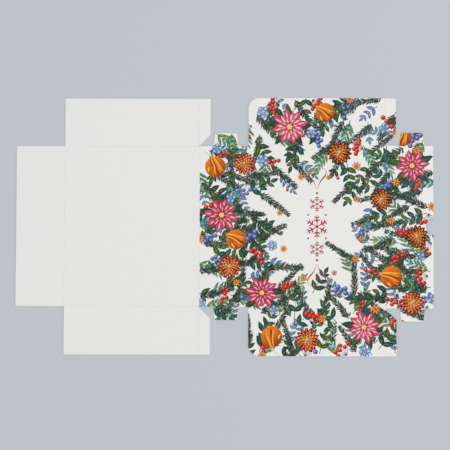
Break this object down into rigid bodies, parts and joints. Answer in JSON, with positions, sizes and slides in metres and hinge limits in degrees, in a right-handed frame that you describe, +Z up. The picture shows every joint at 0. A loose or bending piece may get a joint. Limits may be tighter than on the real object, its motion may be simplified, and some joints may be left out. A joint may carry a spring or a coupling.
{
  "type": "confectionery box",
  "caption": "Flat die-cut carton sheet that folds into a shallow lidded gift box for sweets, with creased walls, a hinged lid, corner tabs and slit-locking tabs.",
  "frame": {"origin": "middle of the flat sheet's footprint, on the surface that the sheet lies on", "axes": "+X along the strip of panels, from the front wall to the lid's front flap; +Y to the side called left; +Z up, out of the printed face"},
  "size_m": [0.5164, 0.3198, 0.0005],
  "materials": {
    "bare_board": "coated white board, unprinted, satin",
    "printed_board": "coated white board, printed in many colours under a satin varnish"
  },
  "bodies": {
    "base_panel": {"base_panel": "bare_board"},
    "front_wall": {"front_wall": "bare_board"},
    "side_wall_left": {"side_wall_left": "bare_board"},
    "side_wall_right": {"side_wall_right": "bare_board"},
    "side_corner_tab_left": {"side_corner_tab_left": "bare_board"},
    "side_corner_tab_right": {"side_corner_tab_right": "bare_board"},
    "rear_wall": {"rear_wall": "printed_board"},
    "rear_lock_tab_left": {"rear_lock_tab_left": "printed_board"},
    "rear_lock_tab_right": {"rear_lock_tab_right": "printed_board"},
    "lid_panel": {"lid_panel": "printed_board"},
    "lid_side_flap_left": {"lid_side_flap_left": "printed_board"},
    "lid_side_flap_right": {"lid_side_flap_right": "printed_board"},
    "lid_corner_tab_left": {"lid_corner_tab_left": "printed_board"},
    "lid_corner_tab_right": {"lid_corner_tab_right": "printed_board"},
    "lid_front_flap": {"lid_front_flap": "printed_board"},
    "front_lock_tab_left": {"front_lock_tab_left": "printed_board"},
    "front_lock_tab_right": {"front_lock_tab_right": "printed_board"}
  },
  "joints": [
    {"name": "front_wall_crease", "type": "hinge", "parent": "base_panel", "child": "front_wall", "pos_m": [-0.19873, 0, 0], "axis": [0, -1, 0], "range_deg": [0, 90]},
    {"name": "side_wall_left_crease", "type": "hinge", "parent": "base_panel", "child": "side_wall_left", "pos_m": [-0.115, 0.0989, 0], "axis": [-1, 0, 0], "range_deg": [0, 90]},
    {"name": "side_wall_right_crease", "type": "hinge", "parent": "base_panel", "child": "side_wall_right", "pos_m": [-0.115, -0.0989, 0], "axis": [1, 0, 0], "range_deg": [0, 90]},
    {"name": "side_corner_tab_left_crease", "type": "hinge", "parent": "side_wall_left", "child": "side_corner_tab_left", "pos_m": [-0.03207, 0.129, 0], "axis": [0, 1, 0], "range_deg": [0, 90]},
    {"name": "side_corner_tab_right_crease", "type": "hinge", "parent": "side_wall_right", "child": "side_corner_tab_right", "pos_m": [-0.03207, -0.129, 0], "axis": [0, 1, 0], "range_deg": [0, 90]},
    {"name": "rear_wall_crease", "type": "hinge", "parent": "base_panel", "child": "rear_wall", "pos_m": [-0.03122, 0, 0], "axis": [0, 1, 0], "range_deg": [0, 90]},
    {"name": "rear_lock_tab_left_crease", "type": "hinge", "parent": "rear_wall", "child": "rear_lock_tab_left", "pos_m": [0.00128, 0.0983, 0], "axis": [-1, 0, 0], "range_deg": [0, 90]},
    {"name": "rear_lock_tab_right_crease", "type": "hinge", "parent": "rear_wall", "child": "rear_lock_tab_right", "pos_m": [0.00128, -0.0983, 0], "axis": [1, 0, 0], "range_deg": [0, 90]},
    {"name": "lid_crease", "type": "hinge", "parent": "rear_wall", "child": "lid_panel", "pos_m": [0.02877, 0, 0], "axis": [0, 1, 0], "range_deg": [0, 90]},
    {"name": "lid_side_flap_left_crease", "type": "hinge", "parent": "lid_panel", "child": "lid_side_flap_left", "pos_m": [0.114, 0.1009, 0], "axis": [-1, 0, 0], "range_deg": [0, 90]},
    {"name": "lid_side_flap_right_crease", "type": "hinge", "parent": "lid_panel", "child": "lid_side_flap_right", "pos_m": [0.114, -0.1009, 0], "axis": [1, 0, 0], "range_deg": [0, 90]},
    {"name": "lid_corner_tab_left_crease", "type": "hinge", "parent": "lid_side_flap_left", "child": "lid_corner_tab_left", "pos_m": [0.19842, 0.131, 0], "axis": [0, 1, 0], "range_deg": [0, 90]},
    {"name": "lid_corner_tab_right_crease", "type": "hinge", "parent": "lid_side_flap_right", "child": "lid_corner_tab_right", "pos_m": [0.19842, -0.131, 0], "axis": [0, 1, 0], "range_deg": [0, 90]},
    {"name": "lid_front_flap_crease", "type": "hinge", "parent": "lid_panel", "child": "lid_front_flap", "pos_m": [0.19928, 0, 0], "axis": [0, 1, 0], "range_deg": [0, 90]},
    {"name": "front_lock_tab_left_crease", "type": "hinge", "parent": "lid_front_flap", "child": "front_lock_tab_left", "pos_m": [0.23178, 0.1003, 0], "axis": [-1, 0, 0], "range_deg": [0, 90]},
    {"name": "front_lock_tab_right_crease", "type": "hinge", "parent": "lid_front_flap", "child": "front_lock_tab_right", "pos_m": [0.23178, -0.1003, 0], "axis": [1, 0, 0], "range_deg": [0, 90]}
  ]
}
